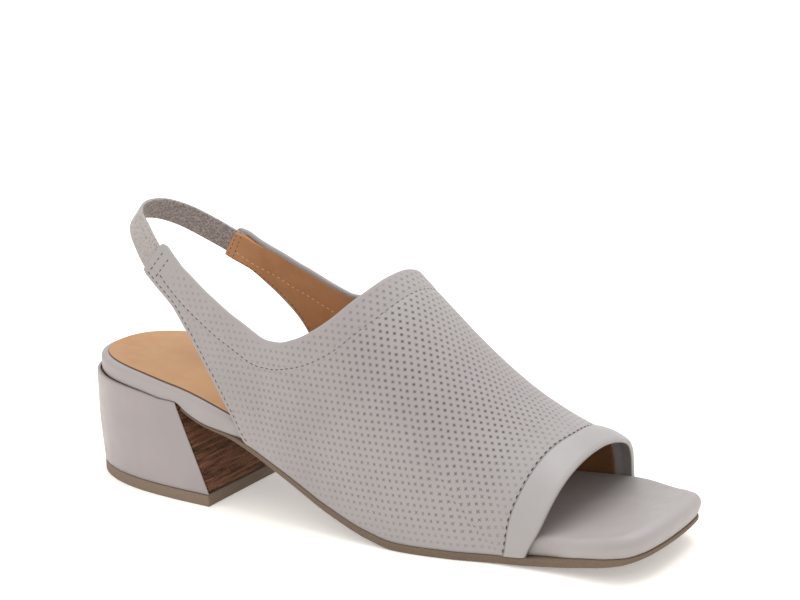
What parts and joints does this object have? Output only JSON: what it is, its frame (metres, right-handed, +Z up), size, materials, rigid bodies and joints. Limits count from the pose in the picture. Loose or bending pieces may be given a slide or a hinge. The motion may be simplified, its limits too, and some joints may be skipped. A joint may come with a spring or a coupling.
{
  "type": "slingback sandal",
  "caption": "Open-toe slingback sandal in punched grey leather with a block heel, elastic heel strap and tan lining, right foot.",
  "frame": {"origin": "middle of the footprint of the whole shoe, on the floor", "axes": "+X from heel to toe, +Z up, -Y towards the outer side of the foot"},
  "size_m": [0.2496, 0.086, 0.11],
  "materials": {
    "outsole_compound": "matte",
    "footbed_leather": "satin",
    "tan_leather": "satin",
    "punched_leather": "matte",
    "smooth_leather": "satin",
    "elastic_webbing": "matte",
    "stacked_heel": "satin",
    "heel_leather": "satin",
    "lift_rubber": "matte"
  },
  "bodies": {
    "root": {"outsole": "outsole_compound", "footbed": "footbed_leather", "sock": "tan_leather", "upper": "punched_leather", "toe_band": "smooth_leather", "sling_strap": "elastic_webbing", "heel_core": "stacked_heel", "heel_cover": "heel_leather", "top_piece": "lift_rubber"}
  },
  "joints": []
}
